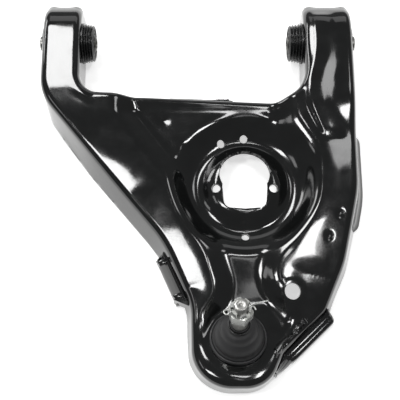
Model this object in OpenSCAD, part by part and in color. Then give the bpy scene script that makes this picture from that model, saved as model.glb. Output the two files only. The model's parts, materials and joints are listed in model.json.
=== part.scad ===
// Stamped front lower control arm with two rubber pivot bushings and a pressed ball joint.
// The left pivot bushing's middle is the origin, the pivot axis is X, the stud points up.

/* [Pivots] */
// Distance between the middles of the two pivot bushings
pivot_span = 298; // [245:1:360]
// Length of the left bushing
left_bush_len = 64; // [58:1:78]
// Length of the right bushing
right_bush_len = 78; // [70:1:94]
// Outer radius of a bushing's steel sleeve
sleeve_r = 22; // [19:0.5:24]
// Radius of the pivot bolt's bore
bolt_bore_r = 6.45; // [5.5:0.05:7.5]

/* [Ears] */
// Width of the left ear
left_ear_w = 45; // [38:1:54]
// Width of the right ear
right_ear_w = 56; // [48:1:66]
// How far the ears reach in front of the pivot axis
ear_tip = 47; // [40:1:56]
// Height of the ears above the pivot axis
ear_top = 28; // [27:1:34]

/* [Arm] */
// Distance from the pivot axis to the ball joint
reach = 355; // [296:1:426]
// Sideways place of the ball joint, from the left bushing
ball_x = 195; // [165:1:225]
// Thickness of the pressed sheet
sheet = 3.5; // [2.5:0.1:4.5]
// Depth of the walls below the pivot axis
wall_depth = 30; // [28:1:38]
// Width of the flared hem along the walls' lower edge
hem_w = 9; // [5:0.5:11]

/* [Spring pocket] */
// Sideways place of the spring pocket, from the left bushing
pocket_x = 205; // [190:1:215]
// Distance from the pivot axis to the spring pocket
pocket_reach = 182; // [165:1:195]
// Inner radius of the spring seat
seat_in = 45; // [42:0.5:48]
// Outer radius of the spring seat
seat_out = 62; // [58:0.5:66]
// Height of the spring seat, measured from the pivot axis
seat_z = -8; // [-12:0.5:-4]
// Height of the boss in the middle of the pocket
boss_z = 3; // [0:0.5:5]
// Distance between the two shock absorber bolts
shock_bolt_gap = 64; // [60:0.5:68]
// Radius of the shock absorber bolt holes
shock_hole_r = 5; // [4:0.25:6]
// Radius of the round part of the keyhole
keyhole_r = 28; // [24:0.5:29]
// Radius of the stabiliser link hole
link_hole_r = 8.5; // [6.5:0.25:10]

/* [Ball joint] */
// Lean of the ball joint's axis towards the pivots
joint_lean = 12; // [6:1:15]
// Radius of the ball
ball_r = 13.5; // [13.2:0.1:14.6]
// Radius of the housing where the arm holds it
housing_r = 25.4; // [24.5:0.1:27]
// Height of the stud's end above the arm
stud_top = 78; // [74:1:86]
// Radius of the stud's thread
thread_r = 7.14; // [6.2:0.02:7.9]
// Width of the castle nut across its flats
nut_flats = 22.2; // [20.6:0.1:24]

/* [Hidden] */
$fn = 96;

// Shared clearances
running_gap = 0.05;
touch_gap = 0.02;
weld_gap = 0.06;
past = 1;

// Colours
paint = [0.10, 0.11, 0.11];
rubber = [0.17, 0.17, 0.17];
zinc = [0.78, 0.78, 0.76];
bare_steel = [0.55, 0.55, 0.55];
brass = [0.72, 0.60, 0.32];
nylon = [0.85, 0.83, 0.76];

// Walls of the ears, and the places that the outline is tied to
left_out = -29;
left_in = left_out + left_ear_w;
right_out = pivot_span + 35;
right_in = right_out - right_ear_w;
rear_y = -85;
joint_y = -reach;
// The nose's outline is tied to a line a little in front of the ball joint
nose_y = joint_y - 5;
bottom = -wall_depth;
ear_bottom = bottom + 3;
far = 1000;
arc_step = 9;

// The pressed shell's plan, counterclockwise: x, y and corner radius
shell_corners = [
    [left_out, ear_tip, 6],
    [left_out + 2, -78, 60],
    [ball_x - 80, nose_y + 111, 150],
    [ball_x - 49, nose_y + 42, 60],
    [ball_x - 47, nose_y - 47, 44],
    [ball_x + 28, nose_y - 47, 34],
    [ball_x + 47, nose_y - 8, 20],
    [ball_x + 94, nose_y + 37, 22],
    [pivot_span + 13, nose_y + 88, 120],
    [pivot_span + 32, nose_y + 172, 120],
    [right_out, ear_tip, 9],
    [right_in, ear_tip, 9],
    [right_in - 2, rear_y, 36],
    [left_in + 2, rear_y + 10, 24],
    [left_in, ear_tip, 6]];

// The sunk web between the two ridges, in the same form
web_corners = [
    [left_in + 38, rear_y - 13, 18],
    [pocket_x - 92, -pocket_reach + 8, 70],
    [ball_x - 34, nose_y + 98, 60],
    [ball_x - 24, nose_y + 62, 40],
    [ball_x - 38, nose_y + 30, 24],
    [ball_x - 38, nose_y - 38, 36],
    [ball_x + 38, nose_y - 38, 36],
    [ball_x + 42, nose_y + 30, 24],
    [ball_x + 36, nose_y + 82, 50],
    [pivot_span - 12, -pocket_reach - 24, 40],
    [pivot_span - 3, -pocket_reach + 34, 50],
    [right_in - 9, rear_y - 13, 18]];

// Height of the shell's edge and ridges along the arm: y, z
seat_slope = tan(joint_lean);
seat_sink = 1.2;
pocket_draft = 0.5;
ridge_heights = [
    [ear_tip - 1, 0],
    [ear_tip - 4, 8],
    [ear_tip - 9, 15],
    [ear_tip - 16, 20.5],
    [ear_tip - 25, ear_top - 3.4],
    [ear_tip - 36, ear_top - 0.9],
    [0, ear_top],
    [-40, ear_top - 0.5],
    [-62, ear_top - 4],
    [-90, 20],
    [(rear_y + nose_y + 145) / 2, 18],
    [nose_y + 160, 16],
    [nose_y + 130, 14],
    [nose_y + 95, 11],
    [nose_y + 60, 7],
    [nose_y + 30, 1],
    [joint_y + 8, -8 * seat_slope + seat_sink],
    [joint_y - 60, 60 * seat_slope + seat_sink]];

// Height of the sunk web along the arm
web_heights = [
    [rear_y + 8, 15],
    [rear_y - 13, 9],
    [-130, 8],
    [nose_y + 125, 7],
    [nose_y + 95, 4],
    [nose_y + 60, -3],
    [joint_y + 36, -36 * seat_slope],
    [joint_y - 60, 60 * seat_slope]];

// Bushing and ball joint details
sleeve_wall = 2;
// The ears' inner walls slant by this much between their tip and the stop flange's far side
wall_slant = 1.3;
rubber_r = sleeve_r - sleeve_wall;
inner_sleeve_r = bolt_bore_r + 2;
rubber_bore_r = inner_sleeve_r + running_gap;
inner_sleeve_out = 1;
ball_z = -6.5;
joint_sheet = sheet * cos(joint_lean);
cavity_r = ball_r + 6;
throat_r = ball_r - 0.9;
cover_z = ball_z - ball_r - 0.6;
cover_h = 2.5;
cup_depth = cover_h + 0.4 - cover_z;
washer_h = 4;
neck_r = thread_r + 1.16;
boot_top = 37;
base_ring_r = neck_r + 1.12 * (housing_r - neck_r) + 0.25;
nut_height = 12;
castle_height = 18;
nut_bottom = stud_top - castle_height - 5;
slot_w = 3.6;
pin_hole_z = nut_bottom + 15;
pin_turn = 16;
pin_r = 1.5;

function unit(v) = v / norm(v);
function turned(v, a) = [v.x * cos(a) - v.y * sin(a), v.x * sin(a) + v.y * cos(a)];

// One rounded corner as a list of [point, outward normal]
function corner(a, b, c) =
    let (u = unit([a.x - b.x, a.y - b.y]), v = unit([c.x - b.x, c.y - b.y]))
    let (half = acos(u * v) / 2, bend = -sign(cross(u, v)), r = b.z)
    let (middle = [b.x, b.y] + unit(u + v) * r / sin(half))
    let (start = [b.x, b.y] + u * r / tan(half) - middle)
    let (sweep = 180 - 2 * half, steps = max(2, ceil(sweep / arc_step)))
    [for (k = [0:steps]) let (d = turned(start, bend * sweep * k / steps)) [middle + d, bend * d / r]];

function rounded(corners) =
    let (n = len(corners))
    [for (i = [0:n - 1]) each corner(corners[(i + n - 1) % n], corners[i], corners[(i + 1) % n])];

// A rounded plan, grown outwards by d
function grown(loop, d) = [for (q = loop) q[0] + d * q[1]];

shell_loop = rounded(shell_corners);
web_loop = rounded(web_corners);

module plan(loop, d, z0, z1) {
    translate([0, 0, z0])
        linear_extrude(z1 - z0)
            polygon(grown(loop, d));
}

// Everything under a line of heights along the arm
module under(heights, drop) {
    last = len(heights) - 1;
    line = [for (h = heights) [h.x, h.y - drop]];
    rotate([90, 0, 90])
        linear_extrude(far, center = true)
            polygon(concat([[heights[0].x + 1, -60], [heights[0].x + 1, heights[0].y - 8 - drop]],
                line, [[heights[last].x, -60]]));
}

// Everything over a line of heights along the arm
module over(heights, drop) {
    last = len(heights) - 1;
    line = [for (h = heights) [h.x, h.y - drop]];
    rotate([90, 0, 90])
        linear_extrude(far, center = true)
            polygon(concat([[heights[0].x, 100]], line, [[heights[last].x, 100]]));
}

// Space over the spring pocket; drop and spread give the sheet's lower side
module pocket_space(drop, spread) {
    translate([pocket_x, -pocket_reach, 0])
        rotate_extrude()
            polygon([
                [0, 100],
                [0, boss_z - drop],
                [seat_in - 8 - spread, boss_z - drop],
                [seat_in - spread, seat_z - drop],
                [seat_out + spread, seat_z - drop],
                [seat_out + spread + pocket_draft * (100 - seat_z), 100 - drop]]);
}

// The outer or the inner form of the press tool
module press_form(inset, drop, spread) {
    difference() {
        intersection() {
            plan(shell_loop, -inset, bottom - (drop > 0 ? past : 0), 60);
            under(ridge_heights, drop);
        }
        intersection() {
            plan(web_loop, spread, -20, 60);
            over(web_heights, drop);
        }
        pocket_space(drop, spread);
    }
}

module hem() {
    difference() {
        plan(shell_loop, hem_w, bottom, bottom + sheet);
        plan(shell_loop, -sheet / 2, bottom - past, bottom + sheet + past);
        // There is no hem between the ears, nor round the nose's front
        translate([-far / 2, rear_y - 3, bottom - past])
            cube([far, far, sheet + 2 * past]);
        translate([-far / 2, nose_y - 30 - far, bottom - past])
            cube([far, far, sheet + 2 * past]);
    }
}

module keyhole_cut() {
    square_w = keyhole_r * 1.68;
    corner_r = 9;
    translate([pocket_x, -pocket_reach, -60]) {
        translate([0, keyhole_r / 2, 0])
            cylinder(r = keyhole_r, h = 120);
        translate([0, -keyhole_r + corner_r, 0])
            for (side = [-1, 1])
                translate([side * (square_w / 2 - corner_r), 0, 0])
                    cylinder(r = corner_r, h = 120);
        translate([-square_w / 2, -keyhole_r + corner_r, 0])
            cube([square_w, keyhole_r, 120]);
        translate([-square_w / 2 + corner_r, -keyhole_r, 0])
            cube([square_w - 2 * corner_r, keyhole_r, 120]);
    }
}

module at_joint() {
    translate([ball_x, joint_y, 0])
        rotate([-joint_lean, 0, 0])
            children();
}

link_x = ball_x + 58;
link_y = nose_y + 55;
link_rim_z = 0.5;
link_rim_h = 8.3;
drain_r = 4.2;

module arm_shell() {
    color(paint)
        difference() {
            union() {
                difference() {
                    press_form(0, 0, 0);
                    press_form(sheet, sheet, 1.5);
                }
                hem();
                translate([link_x, link_y, link_rim_z])
                    cylinder(r = link_hole_r + 3.5, h = link_rim_h);
            }
            // Holes that hold the bushings
            translate([left_out - 20, 0, 0])
                rotate([0, 90, 0])
                    cylinder(r = sleeve_r, h = pivot_span + 120);
            // Hole that holds the ball joint
            at_joint()
                translate([0, 0, -20])
                    cylinder(r = housing_r, h = 40);
            keyhole_cut();
            for (side = [-1, 1])
                translate([pocket_x + side * shock_bolt_gap / 2, -pocket_reach - 5, -60])
                    cylinder(r = shock_hole_r, h = 120);
            // Drain holes in the spring seat
            for (a = [90, 116, 270])
                translate([pocket_x, -pocket_reach, -60])
                    rotate([0, 0, a])
                        translate([seat_out - 5, 0, 0])
                            cylinder(r = drain_r, h = 120);
            translate([link_x, link_y, -20])
                cylinder(r = link_hole_r, h = 60);
            // The ears' walls end above the hem
            translate([-far / 2, rear_y + 15, bottom - past])
                cube([far, far, ear_bottom - bottom + past]);
        }
}

// Trims a welded piece to the wall it stands on
module against_wall() {
    difference() {
        children();
        plan(shell_loop, touch_gap, -60, 60);
    }
}

module rear_doubler() {
    // Trapezoid plate on the rear wall, between the ears
    half_top = 36;
    half_low = 46;
    plate_x = (left_in + right_in) / 2 + 10;
    rear_left = [left_in + 2, rear_y + 10];
    rear_right = [right_in - 2, rear_y];
    tilt = atan2(rear_right.y - rear_left.y, rear_right.x - rear_left.x);
    share = (plate_x - rear_left.x) / (rear_right.x - rear_left.x);
    color(paint)
        against_wall()
            translate([plate_x, rear_left.y + share * (rear_right.y - rear_left.y), 0])
                rotate([90, 0, tilt])
                    translate([0, 0, -sheet - weld_gap])
                        linear_extrude(sheet)
                            polygon([[-half_low, ear_bottom], [half_low, ear_bottom],
                                [half_top, 4], [-half_top, 4]]);
}

// A strip that follows the outside of the wall between two lines across the arm
module wall_strip(y0, y1, z0, z1, width) {
    difference() {
        intersection() {
            plan(shell_loop, width, z0, z1);
            translate([ball_x, y0, z0 - past])
                cube([far, y1 - y0, z1 - z0 + 2 * past]);
        }
        plan(shell_loop, touch_gap, z0 - past, z1 + past);
    }
}

strip_z = bottom + sheet + touch_gap;

module side_doubler() {
    color(paint)
        wall_strip(nose_y + 128, -104, strip_z, -6, 5);
}

module nose_doubler() {
    color(paint)
        wall_strip(nose_y - 24, nose_y + 44, strip_z, -16, 7);
}

// The bump stop bracket stands on the left wall, turned along it
wall_low = [ball_x - 49, nose_y + 42];
wall_high = [ball_x - 80, nose_y + 111];
wall_angle = atan2(wall_high.y - wall_low.y, wall_high.x - wall_low.x);
bracket_off = 14;
bracket_len = 46;
bracket_h = 20;
bracket_z = strip_z;

module at_bracket() {
    translate([(wall_low.x + wall_high.x) / 2, (wall_low.y + wall_high.y) / 2, bracket_z])
        rotate([0, 0, wall_angle])
            children();
}

module bump_stop_bracket() {
    // A channel: a face plate and two end tabs, open towards the wall
    color(paint)
        against_wall()
            at_bracket()
                translate([-bracket_len / 2, weld_gap, 0])
                    difference() {
                        cube([bracket_len, bracket_off, bracket_h]);
                        translate([sheet, -past, -past])
                            cube([bracket_len - 2 * sheet, bracket_off - sheet + past, bracket_h + 2 * past]);
                        for (x = [12, bracket_len - 12])
                            translate([x, bracket_off + past, bracket_h / 2])
                                rotate([90, 0, 0])
                                    cylinder(r = 2.6, h = sheet + 2 * past);
                    }
}

module bracket_gusset() {
    color(paint)
        against_wall()
            at_bracket()
                translate([-bracket_len / 2 - touch_gap, weld_gap, 0])
                    rotate([0, 0, 90])
                        linear_extrude(bracket_h - 3)
                            polygon([[0, 0], [bracket_off, 0], [0, 15]]);
}

module bracket_strap() {
    // The flat strap that closes the bracket's upper side
    color(paint)
        against_wall()
            at_bracket()
                translate([-bracket_len / 2 + 6, weld_gap, bracket_h + touch_gap])
                    cube([bracket_len - 2, bracket_off, 3]);
}

module bush_at(x, side) {
    translate([x, 0, 0])
        rotate([0, 90 * side, 0])
            children();
}

// Steel sleeve: a plain press fit in the ear, a stop flange, and rolled ribs
module outer_sleeve(half_len, stop) {
    rib = (half_len - 2.5 - stop) / 3;
    rotate_extrude()
        polygon(concat([
            [rubber_r, -half_len],
            [sleeve_r - 0.8, -half_len],
            [sleeve_r, -half_len + 0.8],
            [sleeve_r, stop],
            [sleeve_r + 2, stop],
            [sleeve_r + 2, stop + rib * 0.5]],
            [for (k = [0:2]) each [
                [sleeve_r - 0.6 - 0.3 * k, stop + rib * (k + 0.6)],
                [sleeve_r - 0.6 - 0.3 * k, stop + rib * (k + 0.8)],
                [sleeve_r + 0.8 - 0.6 * k, stop + rib * (k + 0.9)],
                [sleeve_r + 0.8 - 0.6 * k, stop + rib * (k + 1.1)]]],
            [[sleeve_r - 1.6, half_len - 1.2],
            [rubber_r, half_len - 1.2]]));
}

module bush_rubber(half_len) {
    rotate_extrude()
        polygon([
            [rubber_bore_r, -half_len + 1],
            [rubber_bore_r + 2, -half_len + 1],
            [rubber_bore_r + 4, -half_len + 4],
            [rubber_r - 3, -half_len + 4],
            [rubber_r, -half_len + 1],
            [rubber_r, half_len - 2],
            [rubber_r - 1.5, half_len - 0.6],
            [rubber_r - 3, half_len - 2],
            [rubber_bore_r + 4, half_len - 2.6],
            [rubber_bore_r + 2, half_len - 0.6],
            [rubber_bore_r, half_len - 0.6]]);
}

module inner_sleeve(half_len) {
    difference() {
        cylinder(r = inner_sleeve_r, h = 2 * (half_len + inner_sleeve_out), center = true);
        cylinder(r = bolt_bore_r, h = 4 * half_len, center = true);
    }
}

module left_outer_sleeve() {
    color(paint)
        bush_at(0, 1)
            outer_sleeve(left_bush_len / 2, left_in + wall_slant);
}

module left_rubber() {
    color(rubber)
        bush_at(0, 1)
            bush_rubber(left_bush_len / 2);
}

module left_inner_sleeve() {
    color(zinc)
        bush_at(0, 1)
            inner_sleeve(left_bush_len / 2);
}

module right_outer_sleeve() {
    color(paint)
        bush_at(pivot_span, -1)
            outer_sleeve(right_bush_len / 2, pivot_span - right_in + wall_slant);
}

module right_rubber() {
    color(rubber)
        bush_at(pivot_span, -1)
            bush_rubber(right_bush_len / 2);
}

module right_inner_sleeve() {
    color(zinc)
        bush_at(pivot_span, -1)
            inner_sleeve(right_bush_len / 2);
}

module ball_joint_housing() {
    flange_r = housing_r + 5;
    color(bare_steel)
        at_joint()
            rotate_extrude()
                polygon([
                    [throat_r, 1.5],
                    [housing_r - 1.5, 1.5],
                    [housing_r, 0],
                    [housing_r, -joint_sheet - touch_gap],
                    [flange_r, -joint_sheet - touch_gap],
                    [flange_r, -joint_sheet - 4.5],
                    [housing_r - 1, -joint_sheet - 5.5],
                    [housing_r - 1, -cup_depth],
                    [cavity_r, -cup_depth],
                    [cavity_r, -1.2],
                    [throat_r, -1.2]]);
}

module ball_joint_cover() {
    color(bare_steel)
        at_joint()
            rotate_extrude()
                polygon([
                    [3, cover_z - cover_h],
                    [cavity_r - touch_gap, cover_z - cover_h],
                    [cavity_r - touch_gap, cover_z],
                    [3, cover_z]]);
}

module upper_bearing() {
    // Ring over the ball; it turns with the boot's seat
    color(nylon)
        at_joint()
            difference() {
                translate([0, 0, ball_z + 0.5])
                    cylinder(r = cavity_r - running_gap, h = -ball_z - 0.5 - 1.2 - running_gap);
                translate([0, 0, ball_z])
                    sphere(r = ball_r + running_gap);
                translate([0, 0, ball_z])
                    cylinder(r = throat_r - 0.6, h = 20);
            }
}

module lower_bearing() {
    color(nylon)
        at_joint()
            difference() {
                translate([0, 0, cover_z + washer_h])
                    cylinder(r = cavity_r - touch_gap, h = ball_z - 0.5 - cover_z - washer_h);
                translate([0, 0, ball_z])
                    sphere(r = ball_r + running_gap);
            }
}

module preload_washer() {
    color(rubber)
        at_joint()
            translate([0, 0, cover_z + touch_gap])
                difference() {
                    cylinder(r = cavity_r - 1, h = washer_h - 2 * touch_gap);
                    translate([0, 0, -past])
                        cylinder(r = cavity_r - 8, h = 20);
                }
}

module ball_stud() {
    color(bare_steel)
        at_joint()
            difference() {
                union() {
                    translate([0, 0, ball_z])
                        sphere(r = ball_r);
                    rotate_extrude()
                        polygon([
                            [0, 0],
                            [neck_r, 0],
                            [neck_r, boot_top + 1],
                            [thread_r + 0.4, nut_bottom - touch_gap],
                            [thread_r, nut_bottom],
                            [thread_r, stud_top - 1.5],
                            [thread_r - 1.5, stud_top],
                            [0, stud_top]]);
                }
                translate([0, 0, pin_hole_z])
                    rotate([0, 90, pin_turn])
                        cylinder(r = pin_r + 0.3, h = 40, center = true);
                translate([0, 0, stud_top - 1.5])
                    cylinder(r = 1.5, h = 5);
                translate([0, 0, ball_z - ball_r - past])
                    cylinder(r = 5, h = 1.8);
            }
}

// The boot's outline: share of the way from the stud's neck to the housing, and height.
// The boot is round about the stud, so it turns on its seat unseen.
boot_outside = [
    [1.05, 1.6], [1.12, 5.6], [0.99, 7.2], [1, 11], [0.94, 16.5], [0.78, 21.6],
    [0.6, 25], [0.54, 28.2], [0.4, 30.6], [0.12, 31.6], [0.09, 33.2], [0.09, 36],
    [0.08, boot_top]];
boot_inside = [
    [0.006, boot_top], [0.006, 32], [0.05, 29.8], [0.34, 28.8], [0.44, 27.2],
    [0.5, 23.8], [0.68, 19.8], [0.82, 15.4], [0.87, 11], [0.87, 7], [0.94, 3], [0.94, 1.6]];

module dust_boot() {
    color(rubber)
        at_joint()
            rotate_extrude()
                polygon([for (q = concat(boot_outside, boot_inside))
                    [neck_r + q.x * (housing_r - neck_r), q.y]]);
}

module boot_base_ring() {
    color(rubber)
        at_joint()
            rotate_extrude()
                polygon([
                    [base_ring_r, 0.1],
                    [base_ring_r + 1.7, 0.1],
                    [base_ring_r + 2.1, 2.4],
                    [base_ring_r + 1.5, 4.8],
                    [base_ring_r, 5.3]]);
}

module boot_neck_ring() {
    color(bare_steel)
        at_joint()
            translate([0, 0, 34.6])
                rotate_extrude()
                    translate([neck_r + 2.7, 0])
                        circle(r = 0.9, $fn = 24);
}

module castle_nut() {
    color(zinc)
        at_joint()
            translate([0, 0, nut_bottom])
                difference() {
                    union() {
                        rotate([0, 0, pin_turn - 30])
                            cylinder(r = nut_flats / sqrt(3), h = nut_height, $fn = 6);
                        cylinder(r = nut_flats / 2 - 0.8, h = castle_height);
                    }
                    translate([0, 0, -past])
                        cylinder(r = thread_r + 0.06, h = 40);
                    for (k = [0:2])
                        rotate([0, 0, pin_turn + 60 * k])
                            translate([-20, -slot_w / 2, nut_height])
                                cube([40, slot_w, 20]);
                }
}

module cotter_pin() {
    eye_r = 3.4;
    leg_end = 20;
    color(zinc)
        at_joint()
            translate([0, 0, pin_hole_z])
                rotate([0, 0, pin_turn])
                    union() {
                        translate([-13, 0, 0])
                            rotate([0, 90, 0])
                                cylinder(r = pin_r, h = 13 + 12.5, $fn = 32);
                        translate([-13 - eye_r + 1, 0, 0])
                            rotate_extrude()
                                translate([eye_r, 0])
                                    circle(r = pin_r * 0.6, $fn = 16);
                        for (side = [-1, 1])
                            translate([12, 0, 0])
                                rotate([0, 90, side * 22])
                                    cylinder(r = pin_r * 0.7, h = leg_end - 8, $fn = 24);
                    }
}

module grease_fitting() {
    color(brass)
        at_joint()
            translate([0, 0, cover_z - cover_h]) {
                translate([0, 0, -1.2])
                    cylinder(r = 4.6, h = 1.2 - touch_gap, $fn = 6);
                cylinder(r = 2.95, h = cover_h - 0.2);
                translate([0, 0, -3])
                    cylinder(r = 2.3, h = 3.1);
                translate([0, 0, -3])
                    sphere(r = 2.1);
            }
}

arm_shell();
rear_doubler();
side_doubler();
nose_doubler();
bump_stop_bracket();
bracket_gusset();
bracket_strap();
left_outer_sleeve();
left_rubber();
left_inner_sleeve();
right_outer_sleeve();
right_rubber();
right_inner_sleeve();
ball_joint_housing();
ball_joint_cover();
upper_bearing();
lower_bearing();
preload_washer();
ball_stud();
dust_boot();
boot_base_ring();
boot_neck_ring();
castle_nut();
cotter_pin();
grease_fitting();
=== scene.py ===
import json
import math

import bmesh
import bpy
import numpy as np
from mathutils import Matrix, Vector


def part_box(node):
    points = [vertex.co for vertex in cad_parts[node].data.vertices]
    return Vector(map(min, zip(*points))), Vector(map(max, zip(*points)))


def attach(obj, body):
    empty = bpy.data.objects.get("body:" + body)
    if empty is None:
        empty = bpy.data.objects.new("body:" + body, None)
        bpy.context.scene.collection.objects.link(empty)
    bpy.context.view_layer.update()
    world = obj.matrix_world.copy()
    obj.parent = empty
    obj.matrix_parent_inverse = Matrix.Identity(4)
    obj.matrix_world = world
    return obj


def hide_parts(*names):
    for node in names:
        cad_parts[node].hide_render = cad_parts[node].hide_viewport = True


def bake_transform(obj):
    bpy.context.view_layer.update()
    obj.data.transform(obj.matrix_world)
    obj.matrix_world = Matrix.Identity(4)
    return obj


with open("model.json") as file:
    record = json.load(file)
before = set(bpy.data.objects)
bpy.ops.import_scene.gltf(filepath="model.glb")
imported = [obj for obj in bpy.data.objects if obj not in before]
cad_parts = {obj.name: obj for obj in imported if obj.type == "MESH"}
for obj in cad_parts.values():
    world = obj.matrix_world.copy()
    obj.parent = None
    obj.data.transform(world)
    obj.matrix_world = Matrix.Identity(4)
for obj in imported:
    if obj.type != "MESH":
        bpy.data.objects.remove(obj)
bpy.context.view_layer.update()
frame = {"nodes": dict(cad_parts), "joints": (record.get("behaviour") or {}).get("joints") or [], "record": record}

bl_info = {
    "name": "Pressed Lower Control Arm",
    "version": (1, 0, 0),
    "blender": (4, 5, 0),
    "location": "View3D > Sidebar > Control Arm",
    "description": "Models a pressed-steel lower control arm with bushings and a ball joint",
    "category": "Object",
}

MM = 0.001

# ---------------------------------------------------------------- places, in millimetres

MOUNTS = {m["name"]: m for m in frame["record"]["mounts"]}
JOINTS = {j["name"]: j for j in frame["joints"]}


def mm(point):
    """A point of the frame in millimetres."""
    return Vector(point) / MM


RIGHT_PIVOT = mm(MOUNTS["right_pivot"]["pos_m"])
POCKET = Vector((mm(MOUNTS["shock_bolts"]["pos_m"]).x, mm(MOUNTS["spring_seat"]["pos_m"]).y))
SEAT_Z = mm(MOUNTS["spring_seat"]["pos_m"]).z
BOSS_Z = mm(MOUNTS["shock_bolts"]["pos_m"]).z
SHOCK_Y = mm(MOUNTS["shock_bolts"]["pos_m"]).y
SHOCK_GAP = MOUNTS["shock_bolts"]["dims"]["spacing_x_mm"]
SHOCK_R = MOUNTS["shock_bolts"]["dims"]["hole_r_mm"]
LINK = mm(MOUNTS["link_hole"]["pos_m"])
LINK_R = MOUNTS["link_hole"]["dims"]["r_mm"]
BALL = mm(JOINTS["stud_swing"]["pos_m"])
AXIS = Vector(JOINTS["stud_spin"]["axis"]).normalized()
BALL_DEPTH = 6.5
JOINT = BALL + AXIS * BALL_DEPTH
LEAN = math.atan2(AXIS.y, AXIS.z)
# the nose's outline is tied to a line a little in front of the ball joint
NOSE = JOINT.y - 5
SHELL_LOW, SHELL_HIGH = (mm(c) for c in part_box("arm_shell"))
FLOOR_Z = SHELL_LOW.z
EAR_BOTTOM = FLOOR_Z + 3
SHEET = 3.5
SLEEVE_R = 22


# ---------------------------------------------------------------- settings

class ShellSettings(bpy.types.PropertyGroup):
    edge_roll: bpy.props.FloatProperty(
        name="Edge roll", description="How far in the top starts to roll over into the walls",
        default=7.5 * MM, min=4 * MM, max=12 * MM, subtype="DISTANCE", unit="LENGTH")


class BushSettings(bpy.types.PropertyGroup):
    rib_count: bpy.props.IntProperty(
        name="Ribs", description="Ribs round the free end of each bushing", default=4, min=2, max=6)


class JointSettings(bpy.types.PropertyGroup):
    thread_pitch: bpy.props.FloatProperty(
        name="Thread pitch", description="Distance between the stud's thread crests",
        default=1.41 * MM, min=1 * MM, max=2 * MM, subtype="DISTANCE", unit="LENGTH")


# ---------------------------------------------------------------- small helpers

def smooth_step(low, high, x):
    """A smooth rise from 0 at low to 1 at high, which may be the smaller of the two."""
    t = np.clip((x - low) / (high - low), 0, 1)
    return t * t * t * (t * (6 * t - 15) + 10)


def soft_line(points, blur, reach=(-420, 60)):
    """A smooth line through given points, as a function of the place along the arm."""
    grid = np.arange(reach[0] - 40, reach[1] + 40, 1.0)
    ordered = sorted(points)
    line = np.interp(grid, [p[0] for p in ordered], [p[1] for p in ordered])
    span = np.arange(-3 * blur, 3 * blur + 1)
    weight = np.exp(-0.5 * (span / blur) ** 2)
    padded = np.pad(line, len(span) // 2, mode="edge")
    line = np.convolve(padded, weight / weight.sum(), mode="valid")[:len(grid)]
    return lambda place: np.interp(place, grid, line)


def rounded(corners, step=math.radians(5)):
    """Points and outward normals of a plan with rounded corners, counterclockwise."""
    points, normals = [], []
    count = len(corners)
    for i, (x, y, radius) in enumerate(corners):
        here = Vector((x, y))
        back = (Vector(corners[i - 1][:2]) - here).normalized()
        ahead = (Vector(corners[(i + 1) % count][:2]) - here).normalized()
        half = math.acos(max(-1, min(1, back.dot(ahead)))) / 2
        bend = -math.copysign(1, back.x * ahead.y - back.y * ahead.x)
        middle = here + (back + ahead).normalized() * radius / math.sin(half)
        start = here + back * radius / math.tan(half) - middle
        sweep = math.pi - 2 * half
        steps = max(2, math.ceil(sweep / step))
        for k in range(steps + 1):
            arm = start.copy()
            arm.rotate(Matrix.Rotation(bend * sweep * k / steps, 2))
            points.append(middle + arm)
            normals.append(arm * bend / radius)
    return np.array(points), np.array(normals)


def signed_distance(points, outline):
    """Distance to a closed outline, positive inside it."""
    ax, ay = outline[:, 0], outline[:, 1]
    bx, by = np.roll(ax, -1), np.roll(ay, -1)
    px, py = points[:, 0:1], points[:, 1:2]
    dx, dy = bx - ax, by - ay
    share = np.clip(((px - ax) * dx + (py - ay) * dy) / np.maximum(dx * dx + dy * dy, 1e-9), 0, 1)
    gap = np.hypot(px - ax - share * dx, py - ay - share * dy).min(axis=1)
    crosses = (ay > py) != (by > py)
    at = ax + (py - ay) / np.where(by == ay, 1e-9, by - ay) * dx
    inside = np.sum(crosses & (px < at), axis=1) % 2 == 1
    return np.where(inside, gap, -gap)


def finish_piece(name, bm, body, material, sharp=35, stands_for=()):
    """Turns a bmesh in millimetres into a finished piece that rides on a body."""
    bmesh.ops.scale(bm, vec=(MM,) * 3, verts=bm.verts)
    mesh = bpy.data.meshes.new(name)
    bm.to_mesh(mesh)
    bm.free()
    for face in mesh.polygons:
        face.use_smooth = True
    if sharp is not None:
        mesh.set_sharp_from_angle(angle=math.radians(sharp))
    mesh.materials.append(material)
    piece = bpy.data.objects.new(name, mesh)
    bpy.context.scene.collection.objects.link(piece)
    if body is None:
        return piece
    if body:
        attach(piece, body)
    if stands_for:
        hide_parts(*stands_for)
    return piece


def turned(bm, profile, segments=96, closed=True):
    """Spins a profile of (radius, height) points round Z into a closed turned part."""
    verts = [bm.verts.new((r, 0, z)) for r, z in profile]
    pairs = list(zip(verts, verts[1:]))
    if closed:
        pairs.append((verts[-1], verts[0]))
    edges = [bm.edges.new(pair) for pair in pairs]
    bmesh.ops.spin(bm, geom=verts + edges, axis=(0, 0, 1), cent=(0, 0, 0), dvec=(0, 0, 0),
                   angle=2 * math.pi, steps=segments, use_merge=True, use_duplicate=False)
    bmesh.ops.remove_doubles(bm, verts=bm.verts, dist=1e-4)
    bmesh.ops.recalc_face_normals(bm, faces=bm.faces)


def softened(profile, radius, steps=3):
    """Rounds the corners of a closed (radius, height) profile."""
    out = []
    count = len(profile)
    for i, point in enumerate(profile):
        here = Vector(point[:2])
        r = point[2] if len(point) > 2 else radius
        back = Vector(profile[i - 1][:2]) - here
        ahead = Vector(profile[(i + 1) % count][:2]) - here
        cut = min(r, back.length * 0.45, ahead.length * 0.45)
        if cut < 1e-3 or here.x < 1e-6:
            out.append(tuple(here))
            continue
        start = here + back.normalized() * cut
        end = here + ahead.normalized() * cut
        for k in range(steps + 1):
            t = k / steps
            out.append(tuple(start * (1 - t) ** 2 + here * 2 * t * (1 - t) + end * t * t))
    return out


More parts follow.
